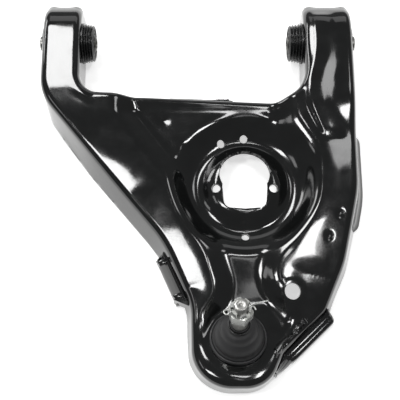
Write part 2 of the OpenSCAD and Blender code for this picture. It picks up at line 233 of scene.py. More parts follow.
def thicken(piece, thickness, edge):
    """Gives a sheet its thickness, downwards, and eases the edges of its rims."""
    solid = piece.modifiers.new("Thickness", "SOLIDIFY")
    solid.thickness = thickness
    solid.offset = -1
    ease(piece, edge)


def ease(piece, edge, angle=50):
    """Rounds a piece's sharp edges so that they catch the light."""
    bevel = piece.modifiers.new("Edges", "BEVEL")
    bevel.width = edge
    bevel.segments = 2
    bevel.limit_method = "ANGLE"
    bevel.angle_limit = math.radians(angle)
    bevel.harden_normals = False


def put(bm, matrix, verts=None):
    bmesh.ops.transform(bm, matrix=matrix, verts=verts or bm.verts)


def joint_matrix():
    """From the ball joint's own frame, seat at the origin and stud along Z, to the arm's."""
    return Matrix.Translation(JOINT) @ Matrix.Rotation(-LEAN, 4, "X")


def along_x(place, side):
    """From a part turned about Z to one along X, its height running towards side."""
    return Matrix.Translation(place) @ Matrix.Rotation(math.pi / 2 * side, 4, "Y")


# ---------------------------------------------------------------- materials

def linear(code):
    """A linear colour from sRGB hex."""
    parts = [int(code[i:i + 2], 16) / 255 for i in (0, 2, 4)]
    return tuple(c / 12.92 if c <= 0.04045 else ((c + 0.055) / 1.055) ** 2.4 for c in parts) + (1,)


def add_node(tree, kind, settings=None, links=None):
    """Adds a node, sets its inputs and attributes, and links its inputs from other sockets."""
    node = tree.nodes.new(kind)
    for key, value in (settings or {}).items():
        if key in node.inputs:
            node.inputs[key].default_value = value
        else:
            setattr(node, key, value)
    for key, source in (links or {}).items():
        tree.links.new(source, node.inputs[key])
    return node


def new_material(name, **surface):
    """A material with a shader, its object coordinates, and the surface's own numbers set."""
    material = bpy.data.materials.new(name)
    material.use_nodes = True
    tree = material.node_tree
    shader = tree.nodes["Principled BSDF"]
    for key, value in surface.items():
        shader.inputs[key.replace("_", " ")].default_value = value
    place = add_node(tree, "ShaderNodeTexCoord").outputs["Object"]
    return material, tree, shader, place


def ramp(tree, source, low, high, dark, light):
    """Maps a pattern between two levels onto two colours or greys."""
    node = add_node(tree, "ShaderNodeValToRGB", links={"Fac": source})
    node.color_ramp.elements[0].position = low
    node.color_ramp.elements[1].position = high
    node.color_ramp.elements[0].color = dark
    node.color_ramp.elements[1].color = light
    return node.outputs["Color"]


def grey(level):
    return (level, level, level, 1)


def rough_up(tree, shader, height, strength, distance):
    """Turns a pattern into small bumps of the surface."""
    bump = add_node(tree, "ShaderNodeBump", {"Strength": strength, "Distance": distance},
                    {"Height": height})
    tree.links.new(bump.outputs["Normal"], shader.inputs["Normal"])


def gloss_paint():
    """Gloss black enamel sprayed on pressed steel: deep black, mirror-like, with a faint orange peel
    and a few dusty, less glossy patches."""
    material, tree, shader, place = new_material(
        "sprayed_black_enamel", Base_Color=linear("0b0c0c"), Roughness=0.16, IOR=1.5)
    shader.inputs["Coat Weight"].default_value = 0.35
    shader.inputs["Coat Roughness"].default_value = 0.05
    # patches of thinner, hazier paint some 25 mm across
    haze = add_node(tree, "ShaderNodeTexNoise", {"Scale": 40.0, "Detail": 5.0, "Roughness": 0.6},
                    {"Vector": place})
    tree.links.new(ramp(tree, haze.outputs["Fac"], 0.35, 0.75, grey(0.07), grey(0.17)),
                   shader.inputs["Roughness"])
    tree.links.new(ramp(tree, haze.outputs["Fac"], 0.3, 0.8, linear("090a0a"), linear("121313")),
                   shader.inputs["Base Color"])
    # orange peel: waves about 2.5 mm apart
    peel = add_node(tree, "ShaderNodeTexNoise", {"Scale": 400.0, "Detail": 2.0}, {"Vector": place})
    # long, low waves left by the press, about 30 mm apart
    wave = add_node(tree, "ShaderNodeTexNoise", {"Scale": 34.0, "Detail": 1.0}, {"Vector": place})
    first = add_node(tree, "ShaderNodeBump", {"Strength": 0.25, "Distance": 0.0012},
                     {"Height": wave.outputs["Fac"]})
    second = add_node(tree, "ShaderNodeBump", {"Strength": 0.06, "Distance": 0.0003},
                      {"Height": peel.outputs["Fac"], "Normal": first.outputs["Normal"]})
    tree.links.new(second.outputs["Normal"], shader.inputs["Normal"])
    return material


def satin_paint():
    """Thin black dip paint on rolled steel: the same black as the arm, but with a softer shine."""
    made, tree, shader, place = new_material(
        "dipped_black_paint", Base_Color=linear("101111"), Roughness=0.3, IOR=1.5)
    runs = add_node(tree, "ShaderNodeTexNoise", {"Scale": 220.0, "Detail": 4.0}, {"Vector": place})
    tree.links.new(ramp(tree, runs.outputs["Fac"], 0.3, 0.75, grey(0.2), grey(0.38)),
                   shader.inputs["Roughness"])
    rough_up(tree, shader, runs.outputs["Fac"], 0.12, 0.0004)
    return made


def moulded_rubber(name, code, rough, grain):
    """Carbon-black rubber out of a mould: matte, with a fine grain and a chalky bloom."""
    material, tree, shader, place = new_material(
        name, Base_Color=linear(code), Roughness=rough, IOR=1.52)
    bloom = add_node(tree, "ShaderNodeTexNoise", {"Scale": 90.0, "Detail": 6.0, "Roughness": 0.65},
                     {"Vector": place})
    base = linear(code)
    pale = tuple(c * 1.5 for c in base[:3]) + (1,)
    tree.links.new(ramp(tree, bloom.outputs["Fac"], 0.35, 0.75, base, pale),
                   shader.inputs["Base Color"])
    fine = add_node(tree, "ShaderNodeTexNoise", {"Scale": 1.0 / grain, "Detail": 3.0},
                    {"Vector": place})
    rough_up(tree, shader, fine.outputs["Fac"], 0.25, 0.0002)
    return material


def plated_steel(name, code, stain, rough, grain):
    """Turned steel with a thin bright plating: metal, with fine lines and uneven, duller spots."""
    material, tree, shader, place = new_material(
        name, Base_Color=linear(code), Metallic=1.0, Roughness=rough)
    spots = add_node(tree, "ShaderNodeTexNoise", {"Scale": 160.0, "Detail": 5.0, "Roughness": 0.6},
                     {"Vector": place})
    tree.links.new(ramp(tree, spots.outputs["Fac"], 0.35, 0.7, linear(stain), linear(code)),
                   shader.inputs["Base Color"])
    dull, shiny = grey(rough + 0.14), grey(rough - 0.06)
    tree.links.new(ramp(tree, spots.outputs["Fac"], 0.3, 0.75, dull, shiny),
                   shader.inputs["Roughness"])
    fine = add_node(tree, "ShaderNodeTexNoise", {"Scale": 1.0 / grain, "Detail": 2.0},
                    {"Vector": place})
    rough_up(tree, shader, fine.outputs["Fac"], 0.2, 0.0002)
    return material


def moulded_nylon():
    """Natural nylon from a mould: off-white, satin."""
    material, tree, shader, place = new_material(
        "moulded_nylon", Base_Color=linear("cfcab8"), Roughness=0.45, IOR=1.53)
    grain = add_node(tree, "ShaderNodeTexNoise", {"Scale": 300.0, "Detail": 3.0}, {"Vector": place})
    tree.links.new(ramp(tree, grain.outputs["Fac"], 0.3, 0.7, linear("c4beaa"), linear("d6d2c2")),
                   shader.inputs["Base Color"])
    return material


def floor_paper():
    """Matte white studio paper."""
    material, tree, shader, place = new_material(
        "studio_paper", Base_Color=linear("f2f2f1"), Roughness=0.9)
    shader.inputs["Specular IOR Level"].default_value = 0.2
    # a table lit from within, so that the paper stays white under the arm
    shader.inputs["Emission Color"].default_value = linear("ffffff")
    shader.inputs["Emission Strength"].default_value = 0.6
    grain = add_node(tree, "ShaderNodeTexNoise", {"Scale": 30.0, "Detail": 4.0}, {"Vector": place})
    tree.links.new(ramp(tree, grain.outputs["Fac"], 0.3, 0.7, linear("f0f0ef"), linear("f5f5f4")),
                   shader.inputs["Base Color"])
    return material


MATERIALS = {}


def material(name):
    """Each material is made once, when it is first asked for."""
    makers = {
        "paint": gloss_paint,
        "bush_rubber": lambda: moulded_rubber("moulded_bush_rubber", "1c1c1c", 0.5, 0.0012),
        "boot_rubber": lambda: moulded_rubber("moulded_boot_rubber", "19191a", 0.62, 0.0009),
        "zinc": lambda: plated_steel("bright_zinc_plate", "d4d5d3", "a9aaa6", 0.24, 0.0006),
        "steel": lambda: plated_steel("turned_oiled_steel", "8f8f8d", "5c5b58", 0.32, 0.0008),
        "brass": lambda: plated_steel("turned_brass", "c9a55a", "9a7c40", 0.3, 0.0008),
        "nylon": moulded_nylon,
        "satin_paint": satin_paint,
        "satin_rubber": lambda: moulded_rubber("polished_boot_ring", "2a2a2b", 0.4, 0.0009),
        "steel_bright": lambda: plated_steel("rolled_thread_steel", "c2c2c0", "8d8c88", 0.26, 0.0006),
        "paper": floor_paper,
    }
    if name not in MATERIALS:
        MATERIALS[name] = makers[name]()
    return MATERIALS[name]


# ---------------------------------------------------------------- the pressed shell

# the drawn ears reach a little past the plain shell's
EAR_REACH = 2
EAR_TIP = SHELL_HIGH.y + EAR_REACH
# how far from a wall's own place its faces may lie
WALL_LEEWAY = 5
BORE_GAP = 0.05
REAR_Y = -85
# the ears' walls, from the bushings' middles
LEFT_OUT, LEFT_IN = -28, 16
RIGHT_OUT, RIGHT_IN = RIGHT_PIVOT.x + 35, RIGHT_PIVOT.x - 21

SHELL_CORNERS = [
    (LEFT_OUT, EAR_TIP, 8.5),
    (LEFT_OUT + 2, -78, 60),
    (JOINT.x - 80, NOSE + 111, 150),
    (JOINT.x - 49, NOSE + 42, 60),
    (JOINT.x - 48, NOSE - 46, 42),
    (JOINT.x + 30, NOSE - 46, 36),
    (JOINT.x + 47, NOSE - 8, 20),
    (JOINT.x + 94, NOSE + 37, 22),
    (RIGHT_PIVOT.x + 13, NOSE + 88, 120),
    (RIGHT_PIVOT.x + 32, NOSE + 172, 120),
    (RIGHT_OUT, EAR_TIP, 9.5),
    (RIGHT_IN, EAR_TIP, 9.5),
    (RIGHT_IN - 2, REAR_Y, 36),
    (LEFT_IN + 2, REAR_Y + 10, 24),
    (LEFT_IN, EAR_TIP, 8.5),
]

WEB_CORNERS = [
    (LEFT_IN + 38, -60, 14),
    (LEFT_IN + 42, REAR_Y - 20, 24),
    (POCKET.x - 92, POCKET.y + 8, 70),
    (JOINT.x - 36, NOSE + 98, 50),
    (JOINT.x - 21, NOSE + 56, 26),
    (JOINT.x - 38, NOSE + 34, 16),
    (JOINT.x - 42, NOSE - 60, 30),
    (JOINT.x + 16, NOSE - 60, 20),
    (JOINT.x + 46, NOSE - 16, 30),
    (JOINT.x + 64, NOSE + 22, 26),
    (JOINT.x + 38, NOSE + 78, 30),
    (JOINT.x + 66, NOSE + 112, 50),
    (RIGHT_PIVOT.x - 12, POCKET.y - 24, 40),
    (RIGHT_PIVOT.x - 3, POCKET.y + 34, 50),
    (RIGHT_IN - 12, REAR_Y - 20, 24),
    (RIGHT_IN - 18, -60, 14),
]

# heights along the arm, in the order of the places along it
RIDGE_LINE = soft_line([
    (60, 6), (46, 8), (38, 17), (30, 22), (20, 26), (8, 28), (-40, 27.5), (-70, 26.5), (-95, 24),
    (-120, 20.5), (-150, 18.5), (-200, 16), (-230, 14), (-265, 11), (-295, 7), (-320, 2.5), (-340, 0),
    (-360, 1.5), (-380, 6), (-400, 10.5), (-420, 14)], 5)
WEB_LINE = soft_line([
    (60, 18), (-77, 16), (-96, 9), (-130, 8), (-235, 7), (-262, 4), (-292, -3), (-316, -7.5),
    (-345, -2.5), (-380, 6), (-420, 14)], 5)


def shell_height(points):
    """How high the press draws the sheet at each plan point."""
    x, y = points[:, 0], points[:, 1]
    ridge, web = RIDGE_LINE(y), WEB_LINE(y)
    inside = signed_distance(points, rounded(WEB_CORNERS)[0])
    blend = np.interp(y, [-330, -260, -180, -110], [22, 28, 30, 32])
    z = ridge - (ridge - web) * smooth_step(-5, blend, inside)
    # each ridge falls away outwards, more on the left; the ears stay flat
    left = x < POCKET.x
    fall = np.where(left, 0.24 * smooth_step(REAR_Y - 20, REAR_Y - 125, y),
                    0.13 * smooth_step(REAR_Y + 10, REAR_Y - 50, y))
    fall *= smooth_step(NOSE - 10, NOSE + 40, y)
    z -= fall * 11 * np.log1p(np.exp((-inside - 6) / 5)) / 2.2
    # the right side dips past the link hole
    dip = 0.12 * 6 * np.log1p(np.exp(np.clip((-292 - y) / 6, -20, 20)))
    z -= np.minimum(dip, 5) * smooth_step(LINK.x - 14, LINK.x + 14, x)
    # the spring pocket: boss, ring-shaped seat and outer slope
    r = np.hypot(x - POCKET.x, y - POCKET.y)
    z += (SEAT_Z - z) * (1 - smooth_step(50, 88, r))
    z += (BOSS_Z - SEAT_Z) * (1 - smooth_step(29, 56, r))
    # the ball joint's seat, square to the leaning axis
    r = np.hypot(x - JOINT.x, y - JOINT.y)
    seat = -(y - JOINT.y) * math.tan(LEAN)
    z += (seat - z) * (1 - smooth_step(29, 41, r))
    # the nose's rim slopes away all round
    z -= 0.36 * 3 * np.log1p(np.exp((r - 40) / 3)) * smooth_step(NOSE + 26, NOSE - 14, y)
    # the link hole's raised rim
    r = np.hypot(x - LINK.x, y - LINK.y)
    z += 0.7 * (1 - smooth_step(LINK_R + 0.5, LINK_R + 9, r))
    for px, py, depth, size in DENTS:
        z -= depth * np.exp(-((x - px) ** 2 + (y - py) ** 2) / size ** 2)
    # the crease that wanders down the right ear
    bend = EAR_CREASE(y)
    rise = smooth_step(bend - 6, bend + 4, x) - smooth_step(bend + 8, bend + 34, x)
    z += 2.2 * rise * smooth_step(-138, -118, y) * smooth_step(34, 18, y)
    # wrinkles that the draw leaves inside the left bend
    along = (x - 24) * 0.6 + (y + 82) * 0.8
    across = (x - 24) * 0.8 - (y + 82) * 0.6
    z += 0.6 * np.cos(along / 2.4) * np.exp(-(along / 8) ** 2 - (across / 11) ** 2)
    return z


# place across the right ear of its crease, along the arm
EAR_CREASE = soft_line([(60, 288), (-20, 288), (-40, 285), (-62, 279), (-80, 277), (-95, 279),
                        (-112, 286), (-128, 294)], 6)

# x, y, depth and size of the press marks
DENTS = [
    (114, -107, 1.0, 5.0),
    (141, -138, 1.2, 5.5),
    (307, -220, 1.9, 3.2),
    (294, -245, 1.9, 3.2),
]


def point_at(loop, test):
    """Index of the loop's point where a test value is smallest."""
    return int(np.argmin([test(p) for p in loop]))


def stretch(loop, first, last, count, by_height=False):
    """Resamples the loop from one index forward to another into count + 1 points."""
    n = len(loop)
    indices = [(first + k) % n for k in range((last - first) % n + 1)]
    part = loop[indices]
    if by_height:
        measure = np.abs(part[:, 1] - part[0, 1])
        measure = np.maximum.accumulate(measure)
        measure = measure + np.arange(len(measure)) * 1e-6
    else:
        measure = np.concatenate([[0], np.cumsum(np.hypot(*np.diff(part, axis=0).T))])
    at = np.linspace(0, measure[-1], count + 1)
    return np.column_stack([np.interp(at, measure, part[:, k]) for k in (0, 1)])


def shell_plan(roll):
    """Grid of plan points: two ears that run into one body, all inside the rolled edge."""
    edge, normal = rounded(SHELL_CORNERS, math.radians(2.5))
    # dense straight stretches, so that every resampled row finds its place
    inner = edge - normal * roll
    loop = []
    for a, b in zip(inner, np.roll(inner, -1, axis=0)):
        steps = max(1, int(np.hypot(*(b - a)) / 1.0))
        loop += [a + (b - a) * k / steps for k in range(steps)]
    loop = np.array(loop)
    near = lambda x, y: point_at(loop, lambda p: abs(p[0] - x) + abs(p[1] - y))
    tip = EAR_TIP - roll
    ear_low = REAR_Y + 12
    left_tip_out = near(LEFT_OUT + roll, tip)
    left_tip_in = near(LEFT_IN - roll, tip)
    right_tip_out = near(RIGHT_OUT - roll, tip)
    right_tip_in = near(RIGHT_IN + roll, tip)
    left_low = near(LEFT_OUT + roll + 3, ear_low)
    right_low = near(RIGHT_OUT - roll - 2, ear_low)
    left_bend = near(LEFT_IN - 2, REAR_Y + 8)
    right_bend = near(RIGHT_IN + 2, REAR_Y + 2)
    nose_left = near(JOINT.x - 47 + roll, NOSE - 4)
    nose_right = near(JOINT.x + 47 - roll, NOSE - 14)

    cols_left, cols_mid, cols_right = 22, 96, 26
    rows_ear, rows_body = 58, 138
    cols = cols_left + cols_mid + cols_right
    plan = np.full((rows_ear + rows_body + 1, cols + 1, 2), np.nan)

    def ear(outer, inner_side, first, count):
        for row in range(rows_ear + 1):
            for k in range(count + 1):
                plan[row, first + k] = outer[row] + (inner_side[row] - outer[row]) * k / count

    left_outer = stretch(loop, left_tip_out, left_low, rows_ear)
    left_inner = stretch(loop, left_bend, left_tip_in, rows_ear)[::-1]
    ear(left_outer, left_inner, 0, cols_left)
    right_outer = stretch(loop, right_low, right_tip_out, rows_ear)[::-1]
    right_inner = stretch(loop, right_tip_in, right_bend, rows_ear)
    ear(right_inner, right_outer, cols_left + cols_mid, cols_right)

    top = np.vstack([
        plan[rows_ear, :cols_left],
        stretch(loop, right_bend, left_bend, cols_mid)[::-1],
        plan[rows_ear, cols_left + cols_mid + 1:]])
    low = stretch(loop, nose_left, nose_right, cols)
    side_left = stretch(loop, left_low, nose_left, rows_body, by_height=True)
    side_right = stretch(loop, nose_right, right_low, rows_body)[::-1]
    span = np.linspace(0, 1, cols + 1)[:, None]
    for row in range(rows_body + 1):
        t = row / rows_body
        ruled = top * (1 - t) + low * t
        sides = side_left[row] * (1 - span) + side_right[row] * span
        corner = ((top[0] * (1 - span) + top[-1] * span) * (1 - t)
                  + (low[0] * (1 - span) + low[-1] * span) * t)
        plan[rows_ear + row] = ruled + sides - corner
    return plan, (rows_ear, cols_left, cols_mid)


def punch(bm, centre, sides, radius_at, level=None):
    """Cuts a convex hole along Z out of a sheet, or only out of the part of it near one level:
    each side's plane trims what is left inside."""
    reach = max(radius_at(2 * math.pi * k / sides) for k in range(sides)) + 4
    inside = [f for f in bm.faces
              if (f.calc_center_median().xy - centre).length < reach + 3
              and (level is None or abs(f.calc_center_median().z - level) < WALL_LEEWAY)]
    for k in range(sides):
        a = 2 * math.pi * (k + 0.5) / sides
        out = Vector((math.cos(a), math.sin(a), 0))
        at = Vector((centre.x, centre.y, 0)) + out * radius_at(a)
        geometry = set(inside)
        for f in inside:
            geometry.update(f.edges)
            geometry.update(f.verts)
        cut = bmesh.ops.bisect_plane(bm, geom=list(geometry), dist=1e-5, plane_co=at, plane_no=out)
        kept = {f for f in cut["geom"] if isinstance(f, bmesh.types.BMFace)}
        kept.update(f for f in inside if f.is_valid)
        inside = [f for f in kept if (f.calc_center_median() - at).dot(out) < 0]
    bmesh.ops.delete(bm, geom=inside, context="FACES")
    loose = [v for v in bm.verts if not v.link_faces]
    bmesh.ops.delete(bm, geom=loose, context="VERTS")


def square_reach(half_w, half_h, corner):
    """Support distance of a rounded rectangle, for each direction."""
    def reach(a):
        c, s = abs(math.cos(a)), abs(math.sin(a))
        return (half_w - corner) * c + (half_h - corner) * s + corner
    return reach


def punch_holes(bm):
    key_r = 28
    side = key_r * 0.84
    low = POCKET.y - key_r
    punch(bm, Vector((POCKET.x, POCKET.y + key_r / 2)), 48, lambda a: key_r)
    punch(bm, Vector((POCKET.x, low + 25)), 40, square_reach(side, 25, 9))
    for k in (-1, 1):
        punch(bm, Vector((POCKET.x + k * SHOCK_GAP / 2, SHOCK_Y)), 24, lambda a: SHOCK_R)
    for a in (90, 116, 270):
        spot = Vector((math.cos(math.radians(a)), math.sin(math.radians(a)))) * 59
        punch(bm, POCKET + spot, 20, lambda a: 4.2)
    punch(bm, LINK.xy, 32, lambda a: LINK_R)
    # the ball joint's hole is round across its leaning axis
    short_r = HOUSING_R * math.cos(LEAN)
    punch(bm, JOINT.xy, 64, lambda a: math.hypot(HOUSING_R * math.cos(a), short_r * math.sin(a)))


def bore_ears(bm):
    """Bores both walls of each ear for the bushings' sleeves."""
    # lays the arm's X axis along Z, which punch cuts along
    x_up = Matrix(((0, 1, 0, 0), (0, 0, 1, 0), (1, 0, 0, 0), (0, 0, 0, 1)))
    put(bm, x_up)
    for wall in (LEFT_OUT, LEFT_IN, RIGHT_IN, RIGHT_OUT):
        punch(bm, Vector((0, 0)), 72, lambda a: SLEEVE_R + BORE_GAP, wall)
    put(bm, x_up.inverted())


def extrude_line(bm, line, edges):
    """Extrudes a line of edges and returns its new vertices in the line's order."""
    made = bmesh.ops.extrude_edge_only(bm, edges=edges)["geom"]
    fresh = {v for v in made if isinstance(v, bmesh.types.BMVert)}
    return [next(e.other_vert(v) for e in v.link_edges if e.other_vert(v) in fresh)
            for v in line]


def boundary_loop(bm):
    """The sheet's outer boundary as an ordered list of vertices."""
    edges = [e for e in bm.edges if e.is_boundary]
    start = max((v for e in edges for v in e.verts), key=lambda v: v.co.y - v.co.x)
    loop, came = [start], None
    while True:
        step = next(e for e in loop[-1].link_edges if e.is_boundary and e is not came)
        came = step
        other = step.other_vert(loop[-1])
        if other is start:
            return loop
        loop.append(other)


def flare_at(points):
    """How far the walls' lower edge stands out from their upper edge."""
    x, y = points[:, 0], points[:, 1]
    left = np.interp(y, [-404, -392, -372, -345, -300, -240, -150, -105, -70],
                     [-1, 0.5, 3.5, 4.5, 4.5, 8, 8.5, 5, 0.6])
    right = np.interp(y, [-404, -392, -372, -350, -325, -300, -240, -140, -100, -70],
                      [-1, 0, 3, 5, 5, 4, 6, 8.5, 5, 0.6])
    middle = np.where(y < NOSE + 80, JOINT.x, (LEFT_IN + RIGHT_IN) / 2)
    flare = np.where(x < middle, left, right)
    # the walls round the bay between the ears stay upright
    bay = (y > REAR_Y - 14) & (x > LEFT_IN - 14) & (x < RIGHT_IN + 14)
    return np.where(bay, 0.6, flare)


def roll_edge(bm, loop, roll):
    """Rolls the sheet over at its edge and draws the walls down to the hem."""
    spots = np.array([v.co[:] for v in loop])[:, :2]
    along = np.roll(spots, -1, axis=0) - np.roll(spots, 1, axis=0)
    along /= np.hypot(along[:, 0], along[:, 1])[:, None]
    area = np.sum(spots[:, 0] * np.roll(spots[:, 1], -1) - np.roll(spots[:, 0], -1) * spots[:, 1])
    out = np.column_stack([along[:, 1], -along[:, 0]]) * (1 if area > 0 else -1)
    top = shell_height(spots)
    step = 1.5
    slope = (top - shell_height(spots - out * step)) / step
    start = np.arctan(np.clip(-slope, -0.6, 1.2))
    for _ in range(24):
        start = (start + 0.5 * (np.roll(start, 1) + np.roll(start, -1))) / 2
    flare = flare_at(spots)
    for _ in range(4):
        flare = (flare + 0.5 * (np.roll(flare, 1) + np.roll(flare, -1))) / 2
    foot = np.where(spots[:, 1] > REAR_Y + 20, EAR_BOTTOM, FLOOR_Z)
    end = np.radians(np.full(len(loop), 86.0))
    for _ in range(4):
        radius = roll / (np.sin(end) - np.sin(start))
        shoulder = top - radius * (np.cos(start) - np.cos(end))
        end = np.pi / 2 - np.arctan2(flare, np.maximum(shoulder - foot, 4))
    # the sheet's inner edge reaches lower than its outer edge where the wall leans
    foot = foot + SHEET * np.cos(end) + 0.2
    ring = list(loop)
    rolls, drops = 8, 7
    for k in range(1, rolls + drops + 1):
        edges = [next(e for e in a.link_edges if e.other_vert(a) is b)
                 for a, b in zip(ring, ring[1:] + ring[:1])]
        ring = extrude_line(bm, ring, edges)
        if k <= rolls:
            turn = start + (end - start) * k / rolls
            away = radius * (np.sin(turn) - np.sin(start))
            level = top - radius * (np.cos(start) - np.cos(turn))
        else:
            t = (k - rolls) / drops
            away = roll + flare * t
            level = shoulder + (foot - shoulder) * t
        for i, v in enumerate(ring):
            v.co = (*(spots[i] + out[i] * away[i]), level[i])


def pressed_sheet(roll):
    """The sheet's upper surface as a bmesh: plan, holes, drawn height, rolled edge and walls."""
    plan, (rows_ear, cols_left, cols_mid) = shell_plan(roll)
    rows, cols = plan.shape[0] - 1, plan.shape[1] - 1
    bm = bmesh.new()
    bmesh.ops.create_grid(bm, x_segments=cols, y_segments=rows, size=1)
    place = {}
    for v in bm.verts:
        col = round((v.co.x + 1) / 2 * cols)
        row = round((1 - v.co.y) / 2 * rows)
        place[v] = (row, col)
    bay = [f for f in bm.faces
           if all(place[v][0] <= rows_ear and cols_left <= place[v][1] <= cols_left + cols_mid
                  for v in f.verts)]
    bmesh.ops.delete(bm, geom=bay, context="FACES")
    for v in bm.verts:
        v.co = (*plan[place[v]], 0)
    loop = boundary_loop(bm)
    punch_holes(bm)
    bm.verts.ensure_lookup_table()
    heights = shell_height(np.array([v.co[:2] for v in bm.verts]))
    for v, z in zip(bm.verts, heights):
        v.co.z = z
    roll_edge(bm, loop, roll)
    bore_ears(bm)
    bmesh.ops.recalc_face_normals(bm, faces=bm.faces)
    if sum(f.normal.z for f in bm.faces) < 0:
        bmesh.ops.reverse_faces(bm, faces=bm.faces)
    return bm


class CONTROLARM_OT_shell(bpy.types.Operator):
    """Press the arm's shell from one sheet"""
    bl_idname = "control_arm.shell"
    bl_label = "Pressed Shell"

    def execute(self, context):
        settings = context.scene.control_arm_shell
        bm = pressed_sheet(settings.edge_roll / MM)
        shell = finish_piece("pressed_shell", bm, "arm", material("paint"), None, ("arm_shell",))
        thicken(shell, SHEET * MM, 0.5 * MM)
        return {"FINISHED"}


# ---------------------------------------------------------------- welded plates

def keep_node(node, finish, edge=0.4):
    """A CAD node that stays: it gets the real finish and eased edges."""
    piece = frame["nodes"][node]
    piece.data.materials.clear()
    piece.data.materials.append(material(finish))
    if edge:
        weld = piece.modifiers.new("Weld", "WELD")
        weld.merge_threshold = 0.01 * MM
        ease(piece, edge * MM, 30)


def wall_path(low, high, right=True):
    """Places and outward directions along the side wall between two lines across the arm."""
    edge, normal = rounded(SHELL_CORNERS, math.radians(2.5))
    path = []
    count = len(edge)
    for i in range(count):
        a, b = edge[i], edge[(i + 1) % count]
        na, nb = normal[i], normal[(i + 1) % count]
        steps = max(1, int(np.hypot(*(b - a)) / 2))
        for k in range(steps):
            t = k / steps
            spot, out = a + (b - a) * t, na + (nb - na) * t
            if low <= spot[1] <= high and (spot[0] > JOINT.x + 10) == right:
                path.append((spot, out / np.hypot(*out)))
    path.sort(key=lambda step: step[0][1])
    return path


def swept_strip(path, profile, trims=(0.1, 0.1)):
    """Draws a profile of (outward, height) points along a wall path, as an open sheet that runs
    out to nothing over a length at each end."""
    bm = bmesh.new()
    steps = [np.hypot(*(b[0] - a[0])) for a, b in zip(path, path[1:])]
    lengths = np.concatenate([[0], np.cumsum(steps)])

    def row(step, at):
        spot, out = step
        near, far = (max(0, 1 - end / trim) ** 2
                     for end, trim in zip((at, lengths[-1] - at), trims))
        tuck = min(0.85, near + far)
        return [Vector((*(spot + out * (d - tuck * (d - profile[0][0]))), z)) for d, z in profile]

    line = [bm.verts.new(p) for p in row(path[0], 0)]
    for a, b in zip(line, line[1:]):
        bm.edges.new((a, b))
    for step, at in zip(path[1:], lengths[1:]):
        edges = [bm.edges.get((a, b)) for a, b in zip(line, line[1:])]
        line = extrude_line(bm, line, edges)
        for v, co in zip(line, row(step, at)):
            v.co = co
    bmesh.ops.recalc_face_normals(bm, faces=bm.faces)
    if sum(f.normal.z * f.calc_area() for f in bm.faces) < 0:
        bmesh.ops.reverse_faces(bm, faces=bm.faces)
    return bm


def weld_bead(name, start, end, width, height=None):
    """A fillet weld: overlapping drops laid side by side from start to end."""
    run = end - start
    count = max(3, int(run.length / (width * 0.55)))
    bm = bmesh.new()
    turn = Vector((1, 0, 0)).rotation_difference(run.normalized()).to_matrix().to_4x4()
    for k in range(count):
        t = (k + 0.5) / count
        swell = 1 + 0.12 * math.sin(7.3 * k) + 0.07 * math.sin(2.9 * k + 1)
        drop = bmesh.ops.create_uvsphere(bm, u_segments=12, v_segments=8, radius=width / 2)["verts"]
        shape = Matrix.Diagonal((0.85, swell, swell * (height or width) / width, 1))
        put(bm, Matrix.Translation(start + run * t) @ turn @ shape, drop)
    return finish_piece(name, bm, "arm", material("paint"), None)


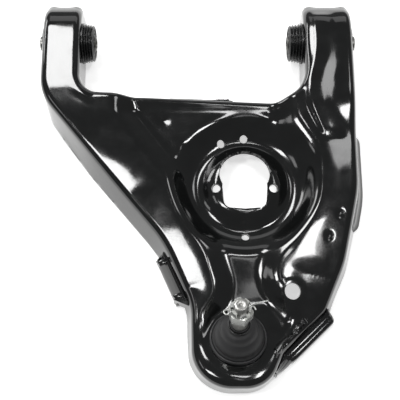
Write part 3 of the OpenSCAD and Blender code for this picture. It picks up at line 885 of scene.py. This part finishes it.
class CONTROLARM_OT_plates(bpy.types.Operator):
    """Add the ribbed nose flange, the side strip, the rear plate and the bump stop bracket"""
    bl_idname = "control_arm.plates"
    bl_label = "Welded Plates"

    def bracket(self, paint):
        """The bump stop bracket: a folded plate that leans off the wall, with two windows and lugs."""
        low, high = (mm(c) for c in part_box("bump_stop_bracket"))
        path = wall_path(low.y - 1, high.y + 9, right=False)
        fold = [(0.6, -8.4), (2.4, -8.0), (4.4, -9.6), (7.4, -14.6), (10.4, -19.6),
                (12.4, -23.4), (12.8, -27.0)]
        bm = swept_strip(path, fold)
        ends = [path[0][0], path[-1][0]]
        windows = []
        for f in bm.faces:
            spot = f.calc_center_median()
            gaps = [math.hypot(spot.x - e[0], spot.y - e[1]) for e in ends]
            if -19 < spot.z < -10 and any(5 < gap < 12.5 for gap in gaps):
                windows.append(f)
        bmesh.ops.delete(bm, geom=windows, context="FACES")
        plate = finish_piece("bump_bracket", bm, "arm", paint, None,
                             ("bump_stop_bracket", "bracket_strap"))
        thicken(plate, 2.5 * MM, 0.5 * MM)
        for at, name in ((0.16, "lower"), (0.86, "upper")):
            spot, out = path[int(len(path) * at)]
            bm = bmesh.new()
            bmesh.ops.create_cube(bm, size=1)
            turn = Matrix.Rotation(math.atan2(out[1], out[0]), 4, "Z")
            put(bm, Matrix.Translation((*(spot + out * 8.5), -11.5)) @ turn
                @ Matrix.Diagonal((9, 5.5, 5, 1)))
            bmesh.ops.bevel(bm, geom=bm.edges[:], offset=0.8, offset_type="OFFSET", segments=3,
                            profile=0.5, affect="EDGES", material=-1)
            finish_piece(name + "_bracket_lug", bm, "arm", paint, 40, ())

    def execute(self, context):
        paint = material("paint")
        # pressed steps run along the flange like the drag lines of a deep draw
        steps = [(1.5, -9.0), (5.0, -11.8), (5.7, -11.9), (9.0, -14.6), (9.7, -14.7),
                 (12.8, -17.4), (13.5, -19.6), (13.7, -26.4)]
        nose = swept_strip(wall_path(NOSE - 30, NOSE + 41), steps, (34, 6))
        nose = finish_piece("nose_flange", nose, "arm", paint, 30, ("nose_doubler",))
        thicken(nose, 2.5 * MM, 0.5 * MM)
        strip = [(1.0, -9.5), (3.6, -11.0), (5.0, -17.0), (8.8, -24.5), (10.6, -25.6)]
        side = swept_strip(wall_path(NOSE + 128, -104), strip, (14, 14))
        side = finish_piece("side_strip", side, "arm", paint, None, ("side_doubler",))
        thicken(side, 2.5 * MM, 0.5 * MM)
        keep_node("rear_doubler", "paint", 0.6)
        keep_node("bracket_gusset", "paint", 0.6)
        low, high = (mm(c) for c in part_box("rear_doubler"))
        weld_bead("rear_plate_weld", Vector((low.x + 14, high.y - 6.2, 3.2)),
                  Vector((high.x - 14, low.y + 4.0, 3.2)), 4.5)
        self.bracket(paint)
        return {"FINISHED"}


# ---------------------------------------------------------------- pivot bushings

def bush_ends(side_name, side):
    """A bushing's middle, then its two ends and the ear wall's face, measured along its axis."""
    low, high = (mm(c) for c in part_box(side_name + "_outer_sleeve"))
    place = mm(MOUNTS[side_name + "_pivot"]["pos_m"])
    if side > 0:
        return place, LEFT_OUT - place.x, high.x - place.x, LEFT_IN - place.x + 1.3
    return place, place.x - RIGHT_OUT, place.x - low.x, place.x - RIGHT_IN + 1.3


def bush_pieces(side_name, side, ribs):
    place, outer, inner, wall = bush_ends(side_name, side)
    spot = along_x(place, side)
    sleeve_r, rubber_r, tube_r = SLEEVE_R, 20.0, 8.4
    bore_r = MOUNTS[side_name + "_pivot"]["dims"]["r_mm"]

    # the sleeve: plain in the ear, a thin stop flange, then rolled ribs that step down to the lip
    bm = bmesh.new()
    pitch = (inner - wall - 2.2) / ribs
    profile = [(rubber_r, outer, 0.2), (sleeve_r - 0.9, outer, 0.2), (sleeve_r, outer + 1.2, 0.4),
               (sleeve_r, wall, 0.1), (sleeve_r + 1.9, wall, 0.4), (sleeve_r + 1.9, wall + 1.6, 0.6)]
    for k in range(ribs):
        z = wall + 2.0 + pitch * k
        crest = sleeve_r + 0.9 - 0.55 * k
        profile += [(crest - 2.1, z + pitch * 0.1, 0.5), (crest - 2.1, z + pitch * 0.28, 0.5),
                    (crest, z + pitch * 0.5, 0.7), (crest, z + pitch * 0.8, 0.7)]
    profile += [(sleeve_r - 2.4 - 0.2 * ribs, inner - 0.2, 0.4), (rubber_r - 0.05, inner - 0.2, 0.2)]
    profile = [(max(q[0], rubber_r + 0.05), *q[1:]) if i > 5 else q for i, q in enumerate(profile)]
    turned(bm, softened(profile, 0.5), 80)
    put(bm, spot)
    finish_piece(side_name + "_bush_sleeve", bm, "arm", material("satin_paint"), 50,
                 (side_name + "_outer_sleeve",))

    # the rubber: rings and hollows on both faces
    bm = bmesh.new()
    top = inner + 0.5
    profile = [(tube_r + 0.1, outer + 1, 0.3), (tube_r + 2.2, outer + 1, 0.8),
               (tube_r + 4.4, outer + 4.4, 1.2), (rubber_r - 3.2, outer + 4.4, 1.2), (rubber_r - 1.4, outer + 1.2, 0.8),
               (rubber_r - 0.05, outer + 1.2, 0.3), (rubber_r - 0.05, top - 1.0, 0.5),
               (rubber_r - 1.2, top, 0.5), (rubber_r - 2.8, top - 0.1, 0.6),
               (rubber_r - 3.6, top - 1.9, 0.5), (rubber_r - 5.0, top - 1.9, 0.5), (rubber_r - 5.6, top - 0.8, 0.4),
               (rubber_r - 6.8, top - 0.8, 0.4), (rubber_r - 7.6, top - 2.3, 0.6),
               (tube_r + 2.6, top - 2.3, 0.6), (tube_r + 1.6, top - 0.2, 0.5),
               (tube_r + 0.1, top - 0.2, 0.2)]
    turned(bm, softened(profile, 0.5), 80)
    put(bm, spot)
    finish_piece(side_name + "_bush_rubber", bm, "arm", material("bush_rubber"), 60,
                 (side_name + "_rubber",))

    # the inner sleeve: a turned tube with broken edges
    bm = bmesh.new()
    low, high = (mm(c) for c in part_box(side_name + "_inner_sleeve"))
    half = (high.x - low.x) / 2
    profile = [(bore_r, -half + 0.8), (bore_r + 0.6, -half), (tube_r - 0.6, -half),
               (tube_r, -half + 0.6), (tube_r, half - 0.6), (tube_r - 0.6, half),
               (bore_r + 0.6, half), (bore_r, half - 0.8)]
    turned(bm, softened(profile, 0.25), 72)
    put(bm, spot)
    finish_piece(side_name + "_bush_tube", bm, side_name + "_sleeve", material("steel"), 40,
                 (side_name + "_inner_sleeve",))


class CONTROLARM_OT_bushings(bpy.types.Operator):
    """Turn both pivot bushings: ribbed sleeve, rubber and inner tube"""
    bl_idname = "control_arm.bushings"
    bl_label = "Pivot Bushings"

    def execute(self, context):
        ribs = context.scene.control_arm_bush.rib_count
        bush_pieces("left", 1, ribs)
        bush_pieces("right", -1, ribs)
        return {"FINISHED"}


# ---------------------------------------------------------------- ball joint

NECK_R, HOUSING_R, THREAD_R, STUD_TOP, NUT_LOW, PIN_Z, PIN_TURN = 8.3, 25.4, 7.14, 78, 55, 70, 16


def joint_piece(name, bm, body, finish, sharp, stands_for):
    put(bm, joint_matrix())
    return finish_piece(name, bm, body, material(finish), sharp, stands_for)


def smooth_profile(points, rounds=2):
    """Cuts the corners of an open profile until it is a soft curve; its ends stay."""
    line = [Vector(p) for p in points]
    for _ in range(rounds):
        cut = [line[0]]
        for a, b in zip(line, line[1:]):
            cut += [a * 0.75 + b * 0.25, a * 0.25 + b * 0.75]
        line = cut + [line[-1]]
    return [tuple(p) for p in line]


class CONTROLARM_OT_boot(bpy.types.Operator):
    """Mould the ball joint's dust boot and its two rings"""
    bl_idname = "control_arm.boot"
    bl_label = "Dust Boot"

    def execute(self, context):
        outside = [(26.3, 1.6), (27.4, 2.2), (27.5, 5.4), (25.6, 6.6), (24.9, 8.4), (25.5, 11.0),
                   (25.0, 14.6), (23.4, 18.6), (21.0, 21.6), (19.6, 22.6), (19.0, 24.2), (18.4, 26.8),
                   (17.0, 29.0), (15.0, 30.6), (12.6, 31.3), (10.6, 31.6), (10.0, 32.6), (9.9, 33.8),
                   (9.9, 36.0), (9.6, 37.0)]
        inside = [(8.42, 37.0), (8.42, 32.4), (9.2, 30.0), (13.6, 28.8), (15.6, 27.2), (16.6, 24.6),
                  (18.0, 22.0), (20.6, 19.2), (22.3, 15.4), (23.1, 11.0), (23.1, 7.0), (24.4, 3.6),
                  (24.6, 1.6)]
        bm = bmesh.new()
        turned(bm, smooth_profile(outside) + smooth_profile(inside), 96)
        boot = joint_piece("rubber_dust_boot", bm, "", "boot_rubber", 60, ("dust_boot",))
        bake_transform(boot)

        # the moulded-in ring at the boot's foot
        bm = bmesh.new()
        profile = [(27.75, 0.3, 0.3), (29.3, 0.2, 0.4), (29.8, 1.6, 0.6), (29.7, 3.4, 0.6),
                   (29.0, 5.0, 0.6), (28.3, 5.3, 0.4), (27.75, 5.0, 0.2)]
        turned(bm, softened(profile, 0.5), 96)
        joint_piece("boot_foot_ring", bm, "boot_seat", "satin_rubber", 60, ("boot_base_ring",))

        # the wire ring that clasps the boot's neck
        bm = bmesh.new()
        turned(bm, [(11.0 + 0.9 * math.cos(a), 34.6 + 0.9 * math.sin(a))
                    for a in (2 * math.pi * k / 14 for k in range(14))], 80)
        joint_piece("boot_neck_wire", bm, "boot_collar", "satin_paint", None, ("boot_neck_ring",))
        return {"FINISHED"}


def cut_thread(bm, low, high, pitch, depth):
    """Turns the rows of a shank between two heights into a screw thread."""
    for v in bm.verts:
        if low - 1e-6 <= v.co.z <= high + 1e-6:
            r = math.hypot(v.co.x, v.co.y)
            if r < THREAD_R - 1.0:
                continue
            turn = (v.co.z / pitch - math.atan2(v.co.y, v.co.x) / (2 * math.pi)) % 1
            groove = depth * min(1, 1.15 * (1 - abs(2 * turn - 1)))
            fade = min(1, (v.co.z - low) / pitch, max(0, high - v.co.z) / (0.6 * pitch))
            v.co.x *= 1 - groove * fade / r
            v.co.y *= 1 - groove * fade / r


def swept_wire(path, radius, sides=12):
    """A round wire along a path, closed at both ends."""
    curve = bpy.data.curves.new("wire_path", "CURVE")
    curve.dimensions = "3D"
    curve.bevel_depth = radius
    curve.bevel_resolution = sides // 4
    curve.use_fill_caps = True
    line = curve.splines.new("NURBS")
    line.points.add(len(path) - 1)
    for point, co in zip(line.points, path):
        point.co = (*co, 1)
    line.order_u = 3
    line.use_endpoint_u = True
    line.resolution_u = 6
    holder = bpy.data.objects.new("wire_path", curve)
    bpy.context.scene.collection.objects.link(holder)
    graph = bpy.context.evaluated_depsgraph_get()
    mesh = bpy.data.meshes.new_from_object(holder.evaluated_get(graph))
    bpy.data.objects.remove(holder)
    bpy.data.curves.remove(curve)
    bm = bmesh.new()
    bm.from_mesh(mesh)
    bpy.data.meshes.remove(mesh)
    bmesh.ops.remove_doubles(bm, verts=bm.verts, dist=1e-3)
    bmesh.ops.recalc_face_normals(bm, faces=bm.faces)
    return bm


class CONTROLARM_OT_stud(bpy.types.Operator):
    """Turn the ball stud, its castle nut and the split cotter pin"""
    bl_idname = "control_arm.stud"
    bl_label = "Stud, Nut and Cotter Pin"

    def execute(self, context):
        pitch = context.scene.control_arm_joint.thread_pitch / MM
        ball_r, ball_z = 13.4, -BALL_DEPTH
        start = math.acos(NECK_R / ball_r)
        ball = [(ball_r * math.cos(a), ball_z + ball_r * math.sin(a))
                for a in (-math.pi / 2 + (start + math.pi / 2) * k / 28 for k in range(29))]
        ball = [q for q in ball if q[0] > 5.2]
        profile = [(0, ball_z - 11.6), (4.4, ball_z - 11.6), (4.9, ball_z - 12.3)] + ball
        profile += [(NECK_R, 8), (NECK_R, 20), (NECK_R, 36), (NECK_R, 38),
                    (THREAD_R + 0.4, NUT_LOW - 0.2)]
        rows = int((STUD_TOP - 0.9 - NUT_LOW) / (pitch / 7))
        profile += [(THREAD_R, NUT_LOW + (STUD_TOP - 0.9 - NUT_LOW) * k / rows)
                    for k in range(rows + 1)]
        profile += [(THREAD_R - 0.9, STUD_TOP - 0.1), (THREAD_R - 1.2, STUD_TOP), (2.2, STUD_TOP),
                    (1.9, STUD_TOP - 0.2), (0, STUD_TOP - 1.5)]
        bm = bmesh.new()
        turned(bm, profile, 72, closed=False)
        cut_thread(bm, NUT_LOW, STUD_TOP - 0.9, pitch, 0.75)
        joint_piece("threaded_ball_stud", bm, "stud", "steel_bright", 40, ("ball_stud",))

        # the split pin: one round wire, doubled through the nut, its legs parted by hand
        r = 0.78
        path = [(14.5, -2.4, -5.5), (13.6, -1.5, -2.5), (12.4, -r, -0.4), (10.5, -r, 0), (6, -r, 0),
                (-9.0, -r, 0), (-11.2, -r - 0.1, 0), (-12.6, -2.2, 0), (-14.8, -2.7, 0), (-16.8, -1.4, 0),
                (-17.1, 0, 0), (-16.8, 1.4, 0), (-14.8, 2.7, 0), (-12.6, 2.2, 0), (-11.2, r + 0.1, 0),
                (-9.0, r, 0), (6, r, 0), (13.0, r, 0), (18.0, r, 0.2), (24.0, 0.6, 0.6), (28.0, 0.2, 0.8)]
        bm = swept_wire(path, r)
        put(bm, Matrix.Translation((0, 0, PIN_Z)) @ Matrix.Rotation(math.radians(PIN_TURN), 4, "Z"))
        joint_piece("split_cotter_pin", bm, "stud", "zinc", 60, ("cotter_pin",))
        keep_node("castle_nut", "zinc", 0.45)
        return {"FINISHED"}


class CONTROLARM_OT_hardware(bpy.types.Operator):
    """Finish the ball joint's housing, cover, bearings, washer and grease fitting"""
    bl_idname = "control_arm.hardware"
    bl_label = "Ball Joint Hardware"

    def execute(self, context):
        for node, finish, slot, edge in (
                ("ball_joint_housing", "steel", "forged_steel", 0.5),
                ("ball_joint_cover", "steel", "forged_steel", 0.3),
                ("upper_bearing", "nylon", "bearing_plastic", 0),
                ("lower_bearing", "nylon", "bearing_plastic", 0),
                ("preload_washer", "bush_rubber", "black_rubber", 0),
                ("grease_fitting", "brass", "brass_fitting", 0.2)):
            keep_node(node, finish, edge)
        return {"FINISHED"}


# ---------------------------------------------------------------- stage

class CONTROLARM_OT_stage(bpy.types.Operator):
    """Set up the floor, the soft lights and the camera"""
    bl_idname = "control_arm.stage"
    bl_label = "Stage"

    def execute(self, context):
        scene = context.scene
        bm = bmesh.new()
        bmesh.ops.create_grid(bm, x_segments=8, y_segments=8, size=6000)
        put(bm, Matrix.Translation((150, -180, FLOOR_Z - 0.3)))
        finish_piece("studio_floor", bm, None, material("paper"), None)
        world = scene.world or bpy.data.worlds.new("studio")
        scene.world = world
        world.use_nodes = True
        sky = world.node_tree.nodes["Background"]
        sky.inputs["Color"].default_value = linear("f4f5f6")
        sky.inputs["Strength"].default_value = SKY
        scene.view_settings.view_transform = "Standard"
        target = Vector((155.5, -200, 0)) * MM
        for name, place, size, power in SOFTBOXES:
            light = bpy.data.lights.new(name, "AREA")
            light.shape = "RECTANGLE"
            light.size, light.size_y = size
            light.energy = power
            lamp = bpy.data.objects.new(name, light)
            scene.collection.objects.link(lamp)
            lamp.location = Vector(place)
            lamp.rotation_mode = "QUATERNION"
            lamp.rotation_quaternion = (target - lamp.location).to_track_quat("-Z", "Y")
        view = bpy.data.cameras.new("studio_camera")
        view.sensor_width = 36
        view.lens = VIEW_LENS
        camera = bpy.data.objects.new("studio_camera", view)
        scene.collection.objects.link(camera)
        tilt = math.radians(VIEW_TILT)
        back = Vector((0, -math.sin(tilt), math.cos(tilt)))
        camera.location = target + back * VIEW_DISTANCE
        camera.rotation_mode = "QUATERNION"
        camera.rotation_quaternion = (-back).to_track_quat("-Z", "Y")
        view.clip_start = 0.01
        scene.camera = camera
        return {"FINISHED"}


# the view stands 950 mm from the arm's middle and leans 22 degrees off the vertical
VIEW_TILT = 22
VIEW_DISTANCE = 0.95
VIEW_LENS = 77.7

SKY = 0.22

# name, place in metres, size in metres and power in watts
SOFTBOXES = [
    ("ear_softbox", (-0.34, 0.85, 1.5), (0.34, 0.74), 13),
    ("left_softbox", (-0.57, -0.4, 1.5), (0.28, 0.46), 8),
    ("far_left_softbox", (-1.3, 1.1, 0.5), (0.7, 0.4), 6),
    ("low_left_softbox", (-1.35, -0.3, 1.3), (0.5, 0.35), 1.5),
    ("right_softbox", (0.98, 0.56, 1.5), (0.3, 0.4), 2.2),
    ("patch_softbox", (0.69, -0.2, 1.5), (0.32, 0.18), 4.5),
    ("edge_softbox", (0.3, -0.03, 1.5), (0.32, 0.1), 1.4),
    ("valley_card", (0.28, -0.38, 1.5), (0.07, 0.3), 0.2),
    ("rear_softbox", (0.3, 2.2, 1.2), (1.8, 0.8), 4),
]


# ---------------------------------------------------------------- panel and registration

OPERATORS = [
    CONTROLARM_OT_stage,
    CONTROLARM_OT_shell,
    CONTROLARM_OT_plates,
    CONTROLARM_OT_bushings,
    CONTROLARM_OT_boot,
    CONTROLARM_OT_stud,
    CONTROLARM_OT_hardware,
]


class CONTROLARM_PT_panel(bpy.types.Panel):
    bl_idname = "CONTROLARM_PT_panel"
    bl_label = "Control Arm"
    bl_space_type = "VIEW_3D"
    bl_region_type = "UI"
    bl_category = "Control Arm"

    def draw(self, context):
        scene = context.scene
        layout = self.layout
        layout.prop(scene.control_arm_shell, "edge_roll")
        layout.prop(scene.control_arm_bush, "rib_count")
        layout.prop(scene.control_arm_joint, "thread_pitch")
        for operator in OPERATORS:
            layout.operator(operator.bl_idname)


SETTINGS = {
    "control_arm_shell": ShellSettings,
    "control_arm_bush": BushSettings,
    "control_arm_joint": JointSettings,
}


def register():
    for group in SETTINGS.values():
        bpy.utils.register_class(group)
    for operator in OPERATORS:
        bpy.utils.register_class(operator)
    bpy.utils.register_class(CONTROLARM_PT_panel)
    for name, group in SETTINGS.items():
        setattr(bpy.types.Scene, name, bpy.props.PointerProperty(type=group))


def unregister():
    for name in SETTINGS:
        delattr(bpy.types.Scene, name)
    bpy.utils.unregister_class(CONTROLARM_PT_panel)
    for operator in reversed(OPERATORS):
        bpy.utils.unregister_class(operator)
    for group in reversed(list(SETTINGS.values())):
        bpy.utils.unregister_class(group)


def main():
    register()
    for operator in OPERATORS:
        group, name = operator.bl_idname.split(".")
        getattr(getattr(bpy.ops, group), name)()


if __name__ == "__main__":
    main()
